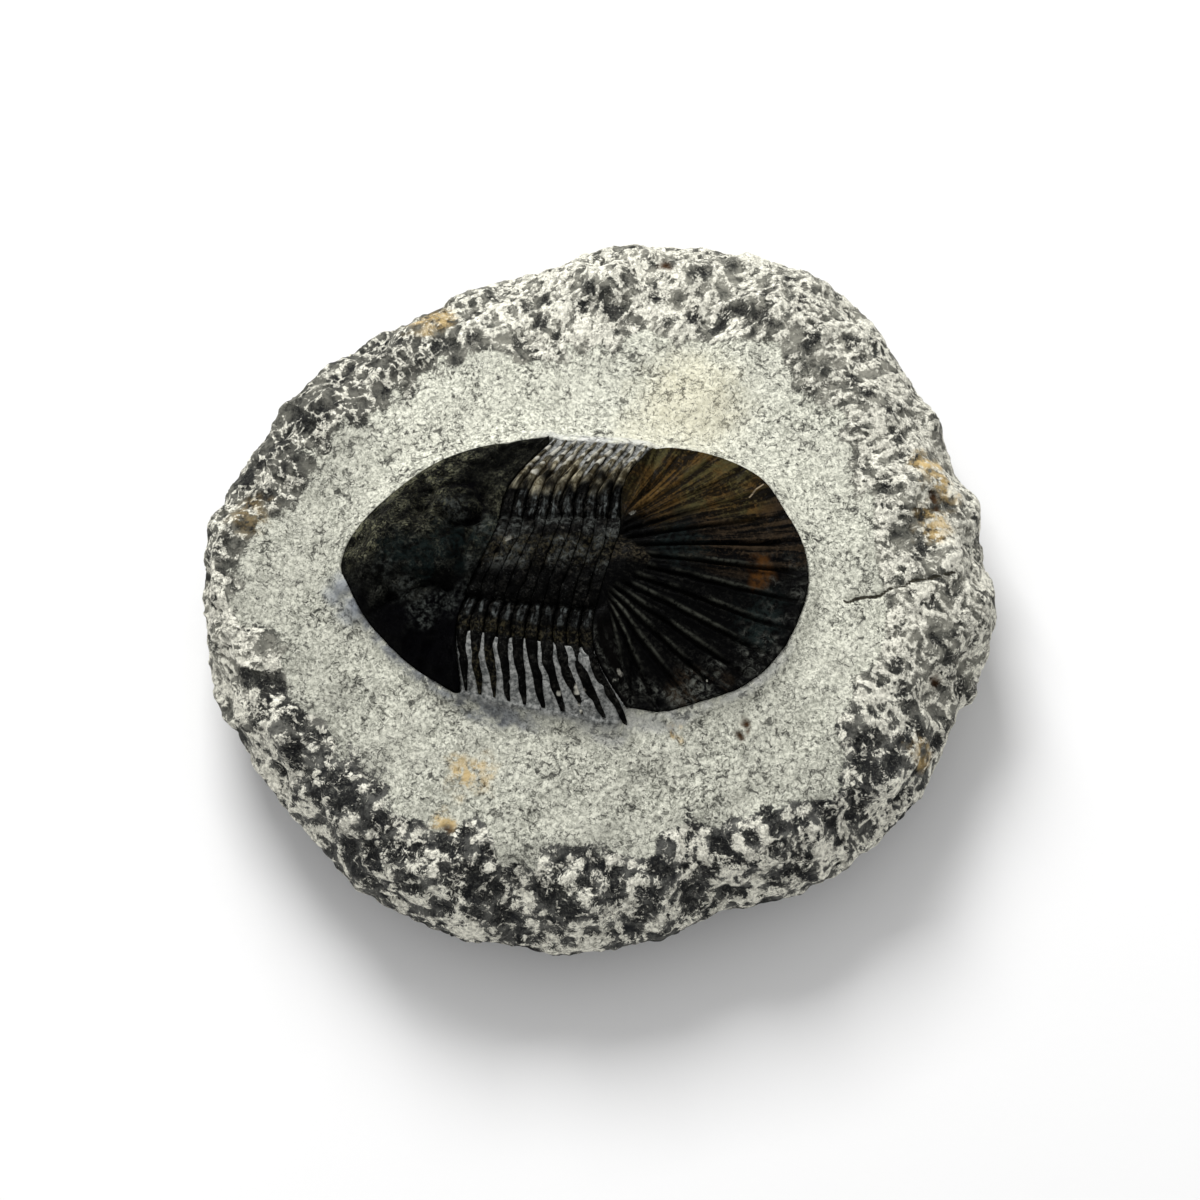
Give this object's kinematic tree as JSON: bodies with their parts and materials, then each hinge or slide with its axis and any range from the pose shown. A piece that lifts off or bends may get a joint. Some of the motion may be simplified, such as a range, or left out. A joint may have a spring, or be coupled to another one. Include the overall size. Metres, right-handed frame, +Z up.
{
  "type": "fossil trilobite in matrix stone",
  "caption": "Prepared fossil trilobite with a domed head, segmented thorax with free spines and a broad ribbed tail fan, set in a loose oval of tooled limestone with a flat base.",
  "frame": {"origin": "on the flat resting face of the stone, under the middle of its bounding box", "axes": "+X from the head to the tail of the fossil, along the stone's longest side, +Y across the fossil, +Z up"},
  "size_m": [0.0894, 0.0836, 0.0273],
  "materials": {
    "matrix_stone": "rough tooled limestone, cream where prepared and dark grey with white tool marks around",
    "head_shell": "semigloss near-black fossil shell with an olive cast",
    "thorax_shell": "semigloss near-black fossil shell with brown spines",
    "tail_shell": "semigloss near-black fossil shell, amber brown on the far side"
  },
  "bodies": {
    "root": {"matrix": "matrix_stone", "cephalon": "head_shell", "thoracic_segment_01": "thorax_shell", "thoracic_segment_02": "thorax_shell", "thoracic_segment_03": "thorax_shell", "thoracic_segment_04": "thorax_shell", "thoracic_segment_05": "thorax_shell", "thoracic_segment_06": "thorax_shell", "thoracic_segment_07": "thorax_shell", "thoracic_segment_08": "thorax_shell", "thoracic_segment_09": "thorax_shell", "thoracic_segment_10": "thorax_shell", "pygidium": "tail_shell"}
  },
  "joints": []
}
